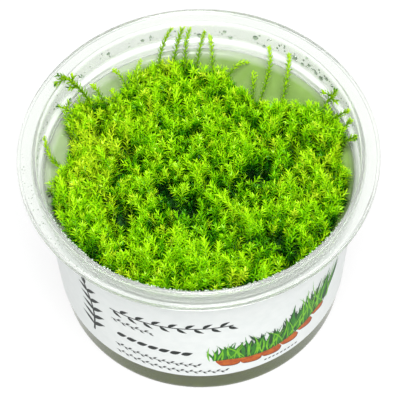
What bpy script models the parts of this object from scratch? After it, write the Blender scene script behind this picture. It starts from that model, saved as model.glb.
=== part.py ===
# Tissue culture cup of kneiffs feather-moss: a clear moulded cup with a broad flat rim, a label wrapped
# round its wall, a bed of nutrient gel, a tangled mat of moss on the gel and the long shoots that stray
# from the mat. Metres, +Z up, +X to the right and -Y to the front. The origin is the centre of the foot.

import math

import bmesh
import bpy
from mathutils import Vector

MM = 0.001
GAP = 0.3                     # clearance between pieces that touch

# Cup, in millimetres
RIM_RADIUS = 50.0             # outer edge of the flat rim
RIM_TOP = 60.0                # the rim's rolled outer edge
RIM_SHEET = 0.9               # thickness of the flat rim
RIM_ROLL = 0.7                # width of the rolled edge
RIM_SKIRT = 1.7               # how far the edge turns down
MOUTH_RADIUS = 44.65
BEAD_WIDTH = 1.1              # the raised ring round the mouth
BEAD_RISE = 0.2
COLLAR_DEPTH = 6.5            # straight collar under the mouth, down to the stacking ledge
WALL = 0.8                    # wall thickness, measured level
LEDGE_RADIUS = 42.95          # inside of the wall just below the ledge
FOOT_RADIUS = 39.35           # inside of the wall at the foot
FOOT_Z = 2.6
FOOT_RING_OUT = 38.2
FOOT_RING_IN = 33.5
FOOT_KICK = 0.7               # how far the middle of the base stands up
TURN_STEPS = 72

# Label, gel and moss, in millimetres
LABEL_LOW = 9.2
LABEL_HIGH = 49.6
LABEL_SHEET = 0.25
GEL_TOP = 49.5
MENISCUS_RISE = 1.1
MENISCUS_WIDTH = 1.6
MAT_CLEAR = 0.5               # the mat keeps this far off the wall
MAT_BOTTOM = GEL_TOP + GAP
MAT_EDGE_TOP = 51.3
MAT_TOP = 54.9
MAT_SHOULDER = 5.0            # width of the rounded edge
MAT_BUMP = 0.35
MAT_COLUMNS = 48
SHOOT_POINTS = 7

# Where the mat stops short of the wall: middle and half width in degrees from +X, depth in millimetres
MAT_BAYS = [
    (56.0, 29.0, 13.5),
    (84.0, 14.0, 8.0),
    (100.0, 16.0, 4.5),
    (131.0, 13.0, 8.0),
    (115.0, 14.0, 3.9),
    (170.0, 17.0, 5.0),
    (2.0, 9.0, 2.2),
]

BAY_SHARPNESS = 0.4           # below one, so that a bay has steep sides

# Stray shoots: name, radius of the stem with its leaves, then base, middle and tip. The base is degrees
# from +X and millimetres from the axis, and the other two add a height.
SHOOTS = [
    ("shoot_leafy_left", 0.9, (142.6, 37.0), (143.2, 41.6, 58.9), (146.4, 46.2, 63.6)),
    ("shoot_left_bent", 0.5, (152.9, 35.5), (152.6, 40.0, 56.2), (153.5, 43.4, 57.4)),
    ("shoot_left_hooked", 0.7, (180.0, 36.0), (175.5, 40.6, 54.8), (168.8, 43.3, 57.6)),
    ("shoot_left_thin", 0.4, (166.1, 33.5), (162.0, 36.4, 56.2), (158.0, 39.2, 55.6)),
    ("shoot_left_short", 0.6, (138.6, 34.0), (137.6, 37.4, 55.6), (136.2, 40.4, 54.8)),
    ("shoot_left_upright", 0.6, (139.4, 27.6), (136.0, 31.4, 56.8), (133.0, 34.6, 55.8)),
    ("shoot_back_flat", 0.4, (125.2, 32.0), (125.4, 36.2, 56.3), (125.0, 40.2, 55.0)),
    ("shoot_back_long", 0.4, (126.9, 26.0), (120.4, 32.5, 56.6), (113.2, 39.4, 54.6)),
    ("shoot_back_arched", 0.5, (108.7, 34.0), (103.4, 40.2, 56.4), (98.6, 43.5, 60.2)),
    ("shoot_back_leafy", 0.7, (100.5, 35.6), (97.0, 41.0, 55.8), (94.4, 43.4, 59.7)),
    ("shoot_back_straight", 0.6, (95.2, 33.2), (93.8, 39.6, 55.9), (91.8, 43.4, 59.1)),
    ("shoot_fork_left", 0.45, (90.3, 32.0), (88.0, 39.4, 55.2), (86.1, 43.2, 57.9)),
    ("shoot_fork_right", 0.45, (80.8, 29.0), (82.6, 37.2, 56.2), (84.2, 42.6, 56.7)),
    ("shoot_on_gel", 0.4, (74.6, 30.0), (71.0, 35.4, 54.4), (68.0, 39.8, 51.2)),
    ("shoot_gel_upright", 0.5, (55.1, 27.0), (58.6, 31.0, 55.2), (62.0, 35.0, 54.2)),
    ("shoot_gel_bent", 0.45, (50.5, 27.2), (55.8, 36.8, 56.0), (60.9, 43.0, 57.2)),
    ("shoot_gel_leafy", 0.6, (39.1, 30.0), (47.6, 38.2, 56.0), (52.4, 43.3, 57.7)),
    ("shoot_right_forked", 0.7, (26.2, 38.4), (27.0, 41.8, 57.0), (26.9, 43.4, 59.9)),
    ("shoot_right_thin", 0.4, (20.6, 39.4), (18.8, 42.3, 57.0), (17.0, 43.7, 59.6)),
    ("shoot_right_bud", 0.5, (13.8, 40.0), (13.6, 42.6, 57.0), (13.2, 43.5, 59.0)),
    ("shoot_right_stub", 0.6, (8.4, 39.2), (6.8, 42.2, 57.2), (4.8, 43.4, 59.5)),
]


def clear_scene():
    """Empty the scene of objects and leave its data blocks to Blender."""
    for obj in list(bpy.data.objects):
        bpy.data.objects.remove(obj, do_unlink=True)


def new_material(name, colour, roughness, transmission=0.0, ior=1.45):
    """A Principled material with the piece's own colour and finish."""
    material = bpy.data.materials.new(name)
    material.use_nodes = True
    shader = material.node_tree.nodes["Principled BSDF"]
    shader.inputs["Base Color"].default_value = (*colour, 1.0)
    shader.inputs["Roughness"].default_value = roughness
    shader.inputs["Metallic"].default_value = 0.0
    shader.inputs["Transmission Weight"].default_value = transmission
    shader.inputs["IOR"].default_value = ior
    return material


def new_object(name, data, collection, material):
    """Link an object for one piece and give it its material."""
    obj = bpy.data.objects.new(name, data)
    collection.objects.link(obj)
    data.materials.append(material)
    return obj


def wall_inside(z):
    """Inside radius of the cup's tapered wall, in millimetres."""
    ledge_z = RIM_TOP - COLLAR_DEPTH - 1.3
    slope = (LEDGE_RADIUS - FOOT_RADIUS) / (ledge_z - FOOT_Z)
    return FOOT_RADIUS + slope * (z - FOOT_Z)


def wall_outside(z):
    """Outside radius of the cup's tapered wall, in millimetres."""
    return wall_inside(z) + WALL


def cup_profile():
    """The wall's section, from the middle of the floor up the inside, over the rim and down the outside."""
    collar_z = RIM_TOP - COLLAR_DEPTH
    ledge_z = collar_z - 1.3
    sheet_top = RIM_TOP - 0.1
    sheet_low = sheet_top - RIM_SHEET
    bead_top = RIM_TOP + BEAD_RISE
    bead_out = MOUTH_RADIUS + BEAD_WIDTH
    collar_out = MOUTH_RADIUS + 0.6
    inside = [
        (0.0, FOOT_KICK + WALL),
        (FOOT_RING_IN - 3.0, FOOT_KICK + WALL),
        (FOOT_RING_IN - 1.0, WALL),
        (FOOT_RING_OUT - 0.6, WALL),
        (FOOT_RADIUS - 0.45, 1.4),
        (FOOT_RADIUS, FOOT_Z),
        (LEDGE_RADIUS, ledge_z),
        (LEDGE_RADIUS + 0.55, collar_z - 0.5),
        (MOUTH_RADIUS - 0.2, collar_z),
        (MOUTH_RADIUS - 0.05, collar_z + 0.6),
        (MOUTH_RADIUS, RIM_TOP - 0.35),
    ]
    rim = [
        (MOUTH_RADIUS + 0.2, bead_top - 0.12),
        (MOUTH_RADIUS + BEAD_WIDTH / 2, bead_top),
        (bead_out - 0.2, bead_top - 0.12),
        (bead_out + 0.1, sheet_top - 0.1),
        (RIM_RADIUS - RIM_ROLL - 0.3, sheet_top - 0.1),
        (RIM_RADIUS - RIM_ROLL, RIM_TOP),
        (RIM_RADIUS - 0.2, RIM_TOP),
        (RIM_RADIUS, RIM_TOP - 0.2),
        (RIM_RADIUS, RIM_TOP - RIM_SKIRT),
        (RIM_RADIUS - RIM_ROLL, RIM_TOP - RIM_SKIRT),
        (RIM_RADIUS - RIM_ROLL, sheet_low),
        (collar_out + 0.9, sheet_low),
        (collar_out + 0.1, sheet_low - 0.5),
    ]
    outside = [
        (collar_out, collar_z + 0.3),
        (collar_out - 0.35, collar_z - 0.4),
        (wall_outside(ledge_z), ledge_z),
        (wall_outside(FOOT_Z), FOOT_Z - 0.2),
        (FOOT_RADIUS + 0.65, 1.2),
        (FOOT_RADIUS + 0.4, 0.4),
        (FOOT_RADIUS - 0.15, 0.0),
        (FOOT_RING_IN, 0.0),
        (FOOT_RING_IN - 2.0, FOOT_KICK),
        (0.0, FOOT_KICK),
    ]
    return inside + rim + outside


def label_profile():
    """The label's section: a thin sheet that follows the taper of the wall."""
    low = wall_outside(LABEL_LOW) + GAP
    high = wall_outside(LABEL_HIGH) + GAP
    return [
        (low, LABEL_LOW),
        (high, LABEL_HIGH),
        (high + LABEL_SHEET, LABEL_HIGH),
        (low + LABEL_SHEET, LABEL_LOW),
        (low, LABEL_LOW),
    ]


def gel_profile():
    """The gel's section: flat on top, drawn up at the wall, and shaped by the cup below."""
    brim_z = GEL_TOP + MENISCUS_RISE
    brim = wall_inside(brim_z) - GAP
    floor = WALL + GAP
    return [
        (0.0, GEL_TOP),
        (brim - MENISCUS_WIDTH, GEL_TOP),
        (brim - 0.35 * MENISCUS_WIDTH, GEL_TOP + 0.3 * MENISCUS_RISE),
        (brim, brim_z),
        (FOOT_RADIUS - GAP, FOOT_Z + 0.2),
        (FOOT_RADIUS - 0.45 - GAP, 1.4 + GAP),
        (FOOT_RING_OUT - 0.8, floor),
        (FOOT_RING_IN - 0.9, floor),
        (FOOT_RING_IN - 2.9, FOOT_KICK + floor),
        (0.0, FOOT_KICK + floor),
    ]


def turned(name, profile, collection, material):
    """Turn a section of (radius, height) points in millimetres round the Z axis."""
    mesh = bpy.data.meshes.new(name)
    closed = profile[0] == profile[-1]
    points = profile[:-1] if closed else profile
    edges = [(i, i + 1) for i in range(len(points) - 1)]
    if closed:
        edges.append((len(points) - 1, 0))
    mesh.from_pydata([(r * MM, 0.0, z * MM) for r, z in points], edges, [])
    obj = new_object(name, mesh, collection, material)
    screw = obj.modifiers.new("turn", "SCREW")
    screw.axis = "Z"
    screw.angle = math.tau
    screw.steps = TURN_STEPS
    screw.render_steps = TURN_STEPS
    screw.use_merge_vertices = True
    screw.merge_threshold = 0.00001
    screw.use_smooth_shade = True
    return obj


def mat_edge(degrees):
    """Radius at which the mat ends in a direction: the wall, less the bays where the gel is bare."""
    inset = 0.0
    for middle, half_width, depth in MAT_BAYS:
        away = abs((degrees - middle + 180.0) % 360.0 - 180.0) / half_width
        if away < 1.0:
            inset = max(inset, depth * (0.5 + 0.5 * math.cos(math.pi * away)) ** BAY_SHARPNESS)
    return wall_inside(MAT_EDGE_TOP) - MAT_CLEAR - inset


def mat_top(degrees, radius):
    """Height of the mat's upper surface at a place, in millimetres."""
    inward = (mat_edge(degrees) - radius) / MAT_SHOULDER
    inward = min(max(inward, 0.0), 1.0)
    rise = math.sqrt(inward * (2.0 - inward))
    turn = math.radians(degrees)
    bump = math.sin(3.0 * turn + radius / 6.0) + math.cos(5.0 * turn - radius / 4.0)
    return MAT_EDGE_TOP + (MAT_TOP - MAT_EDGE_TOP) * rise + MAT_BUMP * bump * inward


def place(degrees, radius, z):
    """A point from its direction, its distance from the axis and its height, in metres."""
    turn = math.radians(degrees)
    return Vector((radius * math.cos(turn), radius * math.sin(turn), z)) * MM


def make_mat(collection, material):
    """Loft the mat through rings that run from its flat underside over its rounded edge to its top."""
    form = bmesh.new()
    rings = []
    steps_in = [0.0, 0.35, 1.2, 2.7, MAT_SHOULDER]
    fractions = [0.74, 0.52, 0.26]
    directions = [360.0 * i / MAT_COLUMNS for i in range(MAT_COLUMNS)]
    rings.append([place(d, mat_edge(d) - 1.6, MAT_BOTTOM) for d in directions])
    for inward in steps_in:
        rings.append([place(d, mat_edge(d) - inward, mat_top(d, mat_edge(d) - inward)) for d in directions])
    for fraction in fractions:
        rings.append([place(d, mat_edge(d) * fraction, mat_top(d, mat_edge(d) * fraction)) for d in directions])
    loops = [[form.verts.new(point) for point in ring] for ring in rings]
    for lower, upper in zip(loops, loops[1:]):
        for i in range(MAT_COLUMNS):
            j = (i + 1) % MAT_COLUMNS
            form.faces.new((lower[i], lower[j], upper[j], upper[i]))
    for loop, height in ((loops[0], MAT_BOTTOM), (loops[-1], mat_top(0.0, 0.0))):
        middle = form.verts.new((0.0, 0.0, height * MM))
        for i in range(MAT_COLUMNS):
            form.faces.new((loop[i], loop[(i + 1) % MAT_COLUMNS], middle))
    bmesh.ops.recalc_face_normals(form, faces=form.faces)
    mesh = bpy.data.meshes.new("moss_mat")
    form.to_mesh(mesh)
    form.free()
    mesh.shade_smooth()
    return new_object("moss_mat", mesh, collection, material)


def make_shoot(name, radius, base, middle, tip, collection, material):
    """A shoot is a round stem on a smooth curve through its base, middle and tip."""
    foot = place(base[0], base[1], mat_top(*base) + GAP + 1.5 * radius)
    waist = place(*middle)
    end = place(*tip)
    pull = 2.0 * waist - 0.5 * (foot + end)
    curve = bpy.data.curves.new(name, "CURVE")
    curve.dimensions = "3D"
    curve.bevel_depth = radius * MM
    curve.bevel_resolution = 2
    curve.use_fill_caps = True
    spline = curve.splines.new("POLY")
    spline.points.add(SHOOT_POINTS - 1)
    for i, point in enumerate(spline.points):
        t = i / (SHOOT_POINTS - 1)
        spot = (1 - t) ** 2 * foot + 2 * t * (1 - t) * pull + t ** 2 * end
        point.co = (*spot, 1.0)
        point.radius = 1.0 - 0.45 * t ** 2
    return new_object(name, curve, collection, material)


def main():
    clear_scene()
    collection = bpy.data.collections.new("feather_moss_cup")
    bpy.context.scene.collection.children.link(collection)
    cup = new_material("clear moulded polypropylene", (0.93, 0.97, 0.95), 0.08, 1.0, 1.49)
    film = new_material("white label film", (0.88, 0.9, 0.89), 0.35)
    gel = new_material("nutrient gel", (0.55, 0.68, 0.42), 0.12, 0.6, 1.34)
    moss = new_material("moss", (0.3, 0.6, 0.02), 0.55)
    turned("cup", cup_profile(), collection, cup)
    turned("label", label_profile(), collection, film)
    turned("gel", gel_profile(), collection, gel)
    make_mat(collection, moss)
    for name, radius, base, middle, tip in SHOOTS:
        make_shoot(name, radius, base, middle, tip, collection, moss)


main()
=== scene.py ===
import math
import bpy
import numpy as np
from mathutils import Matrix, Vector


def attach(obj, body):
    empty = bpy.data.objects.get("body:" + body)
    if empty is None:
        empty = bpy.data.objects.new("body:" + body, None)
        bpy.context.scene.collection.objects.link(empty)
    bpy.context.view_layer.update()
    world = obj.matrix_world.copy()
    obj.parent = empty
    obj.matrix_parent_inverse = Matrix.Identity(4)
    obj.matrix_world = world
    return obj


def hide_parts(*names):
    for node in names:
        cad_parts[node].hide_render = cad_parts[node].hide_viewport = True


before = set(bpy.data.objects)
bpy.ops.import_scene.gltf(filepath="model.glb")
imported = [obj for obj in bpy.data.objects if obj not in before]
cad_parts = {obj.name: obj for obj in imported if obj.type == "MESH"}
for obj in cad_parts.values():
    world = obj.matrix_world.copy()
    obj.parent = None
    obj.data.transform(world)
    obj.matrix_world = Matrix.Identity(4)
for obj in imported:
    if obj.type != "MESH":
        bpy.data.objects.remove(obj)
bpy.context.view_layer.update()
scene = bpy.context.scene
mm = 0.001

# camera and light

cameraLook = {
    "distance": 800.0,    # mm from the middle of the mouth
    "elevation": 55.2,    # degrees above the horizon
    "mouthHeight": 60.0,  # mm, what the camera aims at before the tilt
    "tilt": 0.927,        # degrees down, which lifts the cup in the frame
    "roll": -1.913,       # degrees, the photo leans a little
    "lens": 261.9,        # mm, a long lens from far off
    "sensor": 36.0,       # mm
    "clip": (0.01, 20.0), # m, nearest and farthest
}


def placeCamera(look):
    rise, tilt, roll = (math.radians(look[k]) for k in ("elevation", "tilt", "roll"))
    height = look["mouthHeight"] + look["distance"] * math.sin(rise)
    spot = Vector((0, -look["distance"] * math.cos(rise), height))
    ahead = Vector((0, math.cos(rise), -math.sin(rise)))
    right = Vector((1, 0, 0))
    up = right.cross(ahead)
    aim = ahead * math.cos(tilt) - up * math.sin(tilt)
    up = up * math.cos(tilt) + ahead * math.sin(tilt)
    side = right * math.cos(roll) + up * math.sin(roll)
    up = up * math.cos(roll) - right * math.sin(roll)
    data = bpy.data.cameras.new("photoCamera")
    data.lens, data.sensor_width = look["lens"], look["sensor"]
    data.clip_start, data.clip_end = look["clip"]
    camera = bpy.data.objects.new("photoCamera", data)
    scene.collection.objects.link(camera)
    turn = Matrix((side, up, -aim)).transposed().to_4x4()
    camera.matrix_world = Matrix.Translation(spot * mm) @ turn
    scene.camera = camera


placeCamera(cameraLook)
scene.view_settings.view_transform = "Standard"

studioLight = {
    "skyHex": "#FFFFFF", "skyStrength": 0.8,
    # lamps: watts, metres across, place in metres
    "softbox": (14.5, 0.5, (0.05, -0.35, 0.95)),
    "fill": (1.0, 0.8, (0.25, -1.0, 0.3)),
    "aim": (0, 0, 0.05),  # m, what both lamps face
}


def linear(hexColour, alpha=1.0):
    # sRGB hex to the linear colour that the shaders take
    parts = [int(hexColour[i:i + 2], 16) / 255 for i in (1, 3, 5)]
    return (*[p / 12.92 if p <= 0.04045 else ((p + 0.055) / 1.055) ** 2.4 for p in parts], alpha)


def joinUp(node, links):
    # a link comes from a socket, or from a node's first output
    for name, source in links.items():
        if isinstance(source, bpy.types.Node):
            source = source.outputs[0]
        node.id_data.links.new(source, node.inputs[name])


def addNode(tree, kind, settings=None, links=None):
    # one node with its settings and links; a setting is a socket's value, a ramp's stops or a plain property
    node = tree.nodes.new("ShaderNode" + kind)
    for name, value in (settings or {}).items():
        if name == "stops":
            ramp = node.color_ramp.elements
            while len(ramp) < len(value):
                ramp.new(0.5)
            for stop, (place, colour) in zip(ramp, value):
                stop.position, stop.color = place, linear(colour)
        elif isinstance(name, int) or name in node.inputs:
            node.inputs[name].default_value = value
        else:
            setattr(node, name, value)
    joinUp(node, links or {})
    return node


def newMaterial(name, settings):
    material = bpy.data.materials.new(name)
    material.use_nodes = True
    tree = material.node_tree
    shader = tree.nodes["Principled BSDF"]
    for socket, value in settings.items():
        shader.inputs[socket].default_value = linear(value) if isinstance(value, str) else value
    return material, tree, shader


def objectPlace(tree):
    # a point's place on its piece, and that place's X, Y and Z
    place = addNode(tree, "TexCoord").outputs["Object"]
    return place, addNode(tree, "SeparateXYZ", {}, {"Vector": place}).outputs


def fromAxis(tree, parts):
    # how far a point is from the cup's axis
    flat = addNode(tree, "CombineXYZ", {}, {"X": parts["X"], "Y": parts["Y"]})
    return addNode(tree, "VectorMath", {"operation": "LENGTH"}, {0: flat}).outputs["Value"]


def unevenFace(tree, shader, place, apart, strength, depth, detail=2.0):
    # soft bumps in a face, so many mm apart and mm deep
    noise = addNode(tree, "TexNoise", {"Scale": 1 / (apart * mm), "Detail": detail}, {"Vector": place})
    bump = addNode(tree, "Bump", {"Strength": strength, "Distance": depth * mm}, {"Height": noise})
    joinUp(shader, {"Normal": bump})


def mottledColour(tree, shader, apart, detail, stops):
    # a colour that wavers between stops, so many mm apart
    place = addNode(tree, "TexCoord").outputs["Object"]
    noise = addNode(tree, "TexNoise", {"Scale": 1 / (apart * mm), "Detail": detail}, {"Vector": place})
    joinUp(shader, {"Base Color": addNode(tree, "ValToRGB", {"stops": stops}, {"Fac": noise})})


def letLightThrough(tree, shader, share, settings, links=None):
    # a thin sheet passes a share of the light and glows on its far side
    through = addNode(tree, "BsdfTranslucent", settings, links)
    mixed = addNode(tree, "MixShader", {0: share}, {1: shader, 2: through})
    joinUp(tree.nodes["Material Output"], {"Surface": mixed})


def softLamp(name, power, size, place):
    data = bpy.data.lights.new(name, "AREA")
    data.shape, data.size, data.energy = "DISK", size, power
    lamp = bpy.data.objects.new(name, data)
    scene.collection.objects.link(lamp)
    lamp.location = place
    lamp.rotation_euler = (Vector(studioLight["aim"]) - Vector(place)).to_track_quat("-Z", "Y").to_euler()


for lampName in ("softbox", "fill"):
    softLamp(lampName, *studioLight[lampName])
sky = bpy.data.worlds.new("studioSky")
scene.world = sky
sky.use_nodes = True
skyInputs = sky.node_tree.nodes["Background"].inputs
skyInputs["Color"].default_value = linear(studioLight["skyHex"])
skyInputs["Strength"].default_value = studioLight["skyStrength"]
print("camera and light placed")

# meshes from arrays

triangleCount = {}


def addPiece(name, points, faces, material, replaces=None, uv=None, smooth=False):
    # points in mm; faces as a list with one array of corner numbers for each size of face
    mesh = bpy.data.meshes.new(name)
    points = np.asarray(points, dtype=np.float32) * mm
    loops = np.concatenate([g.reshape(-1) for g in faces]).astype(np.int32)
    sizes = np.concatenate([np.full(len(g), g.shape[1]) for g in faces]).astype(np.int32)
    starts = np.concatenate([[0], np.cumsum(sizes)[:-1]]).astype(np.int32)
    mesh.vertices.add(len(points))
    mesh.vertices.foreach_set("co", points.reshape(-1))
    mesh.loops.add(len(loops))
    mesh.loops.foreach_set("vertex_index", loops)
    mesh.polygons.add(len(sizes))
    mesh.polygons.foreach_set("loop_start", starts)
    mesh.polygons.foreach_set("loop_total", sizes)
    mesh.update(calc_edges=True)
    mesh.validate()
    if uv is not None:
        layer = mesh.uv_layers.new(name="OFBake")
        layer.data.foreach_set("uv", np.asarray(uv, dtype=np.float32)[loops].reshape(-1))
    if smooth:
        mesh.shade_smooth()
        mesh.set_sharp_from_angle(angle=math.radians(smooth))
    mesh.materials.append(material)
    piece = bpy.data.objects.new(name, mesh)
    scene.collection.objects.link(piece)
    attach(piece, "root")
    if replaces:
        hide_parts(replaces)
    triangleCount[name] = int((sizes - 2).sum())


def joined(parts):
    # several (points, faces) into one, each with the same sizes of face
    shift, points, groups = 0, [], []
    for place, faces in parts:
        points.append(place)
        groups.append([g + shift for g in faces])
        shift += len(place)
    return np.concatenate(points), [np.concatenate(g) for g in zip(*groups)]


def turnedMesh(profile, steps):
    # a closed section of (radius, height) turned about the axis; points on the axis are shared
    closed = profile[0][0] > 0
    angles = np.arange(steps) * (math.tau / steps)
    ring = np.stack([np.cos(angles), np.sin(angles)], -1)
    points, rows = [], []
    count = 0
    for r, z in profile:
        if r <= 0:
            points.append(np.array([[0, 0, z]]))
            rows.append(np.full(steps, count))
            count += 1
        else:
            points.append(np.concatenate([ring * r, np.full((steps, 1), z)], 1))
            rows.append(count + np.arange(steps))
            count += steps
    quads, tris = [], []
    for a, b in list(zip(rows, rows[1:])) + ([(rows[-1], rows[0])] if closed else []):
        a2, b2 = np.roll(a, -1), np.roll(b, -1)
        if a[0] == a[1]:
            tris.append(np.stack([a, b, b2], 1))
        elif b[0] == b[1]:
            tris.append(np.stack([a, b, a2], 1))
        else:
            quads.append(np.stack([a, b, b2, a2], 1))
    return np.concatenate(points), [np.concatenate(g) for g in (quads, tris) if g]


def closedRings(rings, top, under):
    # rings of points that follow one another upwards, closed by one point at either end
    sides = len(rings[0])
    k = np.arange(sides)
    k2 = np.roll(k, -1)
    lows = np.arange(len(rings) - 1) * sides
    quads = [np.stack([low + k, low + k2, low + sides + k2, low + sides + k], 1) for low in lows]
    last, tip = lows[-1] + sides, len(rings) * sides
    over = np.stack([last + k, last + k2, np.full(sides, tip)], 1)
    below = np.stack([k2, k, np.full(sides, tip + 1)], 1)
    return np.concatenate([*rings, [top], [under]]), [np.concatenate(quads), np.concatenate([over, below])]


def rounded(profile, size, turns=3):
    # each inner corner of an open profile becomes a short arc of the given size, or as much as fits
    fits = 0.45
    made = [np.array(profile[0], float)]
    for before, corner, after in zip(profile, profile[1:], profile[2:]):
        before, corner, after = (np.array(p, float) for p in (before, corner, after))
        into, out = before - corner, after - corner
        reach = min(size, fits * np.linalg.norm(into), fits * np.linalg.norm(out))
        a = corner + into / np.linalg.norm(into) * reach
        b = corner + out / np.linalg.norm(out) * reach
        for t in np.arange(turns + 1) / turns:
            made.append((1 - t) ** 2 * a + 2 * t * (1 - t) * corner + t * t * b)
    return made + [np.array(profile[-1], float)]


def unit(v):
    return v / np.maximum(np.linalg.norm(v, axis=-1, keepdims=True), 1e-9)


def polar(angle, radius, z):
    turn = np.radians(angle)
    return np.stack(np.broadcast_arrays(radius * np.cos(turn), radius * np.sin(turn), z), -1)


def bearing(x, y):
    # degrees from +X
    return np.degrees(np.arctan2(y, x))


# cup: injection-moulded polypropylene

cupWall = {
    "rimRadius": 50.0, "rimTop": 60.0, "rimSheet": 0.9, "rimRoll": 0.7, "rimSkirt": 1.7,
    "mouthRadius": 44.65, "beadWidth": 1.1, "beadRise": 0.2, "collarDepth": 6.5, "collarWall": 0.6,
    "ledgeDrop": 1.3, "wall": 0.8, "ledgeRadius": 42.95, "footRadius": 39.35, "footHeight": 2.6,
    "footRingOut": 38.2, "footRingIn": 33.5, "footKick": 0.7, "corner": 0.25, "steps": 288,
    # hex is faintly green: painted light for the moss's green light that the plastic scatters
    "hex": "#F1F5F0",
    # the plastic is haziest at the ledge, from and to in mm up, and clears again towards the rim
    "hazeFrom": 49.8, "hazeTo": 51.5, "hazeEnd": 54.0, "rimFrom": 55.2, "haze": 0.3, "rimHaze": 0.09,
    # the collar clears by this share of what the rim does; from collar to rim in mm from the axis
    "collarShare": 0.6, "collarOut": 45.8, "rimIn": 46.6,
    "smoothLow": 0.06, "smoothHigh": 0.2,
}


def wallInside(z, c=cupWall):
    ledge = c["rimTop"] - c["collarDepth"] - c["ledgeDrop"]
    draft = c["ledgeRadius"] - c["footRadius"]
    return c["footRadius"] + draft * (z - c["footHeight"]) / (ledge - c["footHeight"])


def cupProfile(c=cupWall):
    wall, kick, foot, mouth = c["wall"], c["footKick"], c["footRadius"], c["mouthRadius"]
    collar = c["rimTop"] - c["collarDepth"]
    ledge = collar - c["ledgeDrop"]
    top = c["rimTop"] - 0.1
    low = top - c["rimSheet"]
    bead = c["rimTop"] + c["beadRise"]
    beadOut = mouth + c["beadWidth"]
    collarOut = mouth + c["collarWall"]
    rollIn = c["rimRadius"] - c["rimRoll"]
    skirt = c["rimTop"] - c["rimSkirt"]
    return [
        # inside, up from the kicked-up base to the ledge and the collar
        (0, kick + wall), (c["footRingIn"] - 3, kick + wall), (c["footRingIn"] - 1, wall),
        (c["footRingOut"] - 0.6, wall), (foot - 0.45, 1.4), (foot, c["footHeight"]),
        (c["ledgeRadius"], ledge), (c["ledgeRadius"] + 0.55, collar - 0.5), (mouth - 0.2, collar),
        (mouth - 0.05, collar + 0.6), (mouth, c["rimTop"] - 0.35),
        # the lip's bead and the flat rim with its turned-down edge
        (mouth + 0.2, bead - 0.12), (mouth + c["beadWidth"] / 2, bead), (beadOut - 0.2, bead - 0.12),
        (beadOut + 0.1, top - 0.1), (rollIn - 0.3, top - 0.1), (rollIn, c["rimTop"]),
        (c["rimRadius"] - 0.2, c["rimTop"]), (c["rimRadius"], c["rimTop"] - 0.2), (c["rimRadius"], skirt),
        (rollIn, skirt), (rollIn, low),
        # outside, down to the ring foot and under the base
        (collarOut + 0.9, low), (collarOut + 0.1, low - 0.5), (collarOut, collar + 0.3),
        (collarOut - 0.35, collar - 0.4), (wallInside(ledge) + wall, ledge),
        (wallInside(c["footHeight"]) + wall, c["footHeight"] - 0.2), (foot + 0.65, 1.2), (foot + 0.4, 0.4),
        (foot - 0.15, 0), (c["footRingIn"], 0), (c["footRingIn"] - 2, kick), (0, kick),
    ]


def clearPolypropyleneMaterial(c=cupWall):
    # clear moulded polypropylene: see-through, soft gloss, hazier in the collar and rim; its faint green is
    # painted light, the moss's green light scattered in the plastic
    material, tree, shader = newMaterial("clearMouldedPolypropylene", {"Base Color": c["hex"], "IOR": 1.49})
    place, parts = objectPlace(tree)
    height = {"Value": parts["Z"]}
    ledge = {"From Min": c["hazeFrom"] * mm, "From Max": c["hazeTo"] * mm}
    rough = addNode(tree, "MapRange", {**ledge, "To Min": c["smoothLow"], "To Max": c["smoothHigh"]}, height)
    hazy = addNode(tree, "MapRange", {**ledge, "To Min": 1.0, "To Max": 1 - c["haze"]}, height)
    above = {"From Min": c["hazeEnd"] * mm, "From Max": c["rimFrom"] * mm, "To Max": c["haze"] - c["rimHaze"]}
    clearer = addNode(tree, "MapRange", above, height)
    outside = {"From Min": c["collarOut"] * mm, "From Max": c["rimIn"] * mm, "To Min": c["collarShare"]}
    share = addNode(tree, "MapRange", outside, {"Value": fromAxis(tree, parts)})
    there = addNode(tree, "Math", {"operation": "MULTIPLY"}, {0: clearer, 1: share})
    seeThrough = addNode(tree, "Math", {}, {0: hazy, 1: there})
    joinUp(shader, {"Roughness": rough, "Transmission Weight": seeThrough})
    # flow marks of the mould, 6 mm apart
    unevenFace(tree, shader, place, 6, 0.05, 0.2)
    return material


points, faces = turnedMesh(rounded(cupProfile(), cupWall["corner"]), cupWall["steps"])
addPiece("clearCup", points, faces, clearPolypropyleneMaterial(), "cup", smooth=50)
print("cup turned")

# water that has condensed on the cup: drops on the collar, along the lip and on the rim

wallDrops = {
    "hex": "#C9D8C6", "seed": 5, "sides": 10,
    # rise as a share of the width, on the wall and on the lip, and how deep a drop's underside lies in mm
    "height": 0.45, "lipHeight": 0.6, "sunk": 0.04,
    # degrees from +X, mm up and mm across of the drops that stand out
    "big": [
        (88.3, 54.7, 1.1), (78.9, 56.9, 0.9), (76.8, 54.6, 1.0), (67.2, 57.2, 1.3), (63.9, 54.4, 0.8),
        (50.7, 56.0, 1.2), (47.3, 55.1, 0.9), (45.3, 59.4, 0.8), (44.1, 56.8, 0.9), (40.6, 55.7, 1.0),
        (37.9, 55.5, 1.2), (34.7, 57.7, 0.9), (31.5, 57.3, 0.8), (136.7, 55.9, 1.0), (123.4, 57.0, 0.9),
        (109.5, 56.4, 0.8), (106.3, 56.7, 0.7),
    ],
    # how far the big ones have run out, as a share of the widths above
    "spreadOut": 1.3,
    # from and to in degrees, from and to in height, how many, mm across
    "small": [
        (28, 62, 54.2, 58.6, 40, (0.3, 0.7)), (62, 150, 54.6, 58.8, 45, (0.25, 0.6)),
        (150, 205, 54.4, 59.2, 50, (0.25, 0.6)), (-20, 28, 54.6, 59.0, 25, (0.25, 0.6)),
    ],
    # beads along the lip: from and to in degrees, how many, mm across
    "lip": [(200, 250, 60, (0.3, 0.75)), (250, 330, 70, (0.3, 0.6))],
    # specks on the flat rim at the left: the same, and mm from the axis
    "rim": (178, 240, 60, (0.2, 0.5), (46.2, 49.0)),
}


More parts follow.
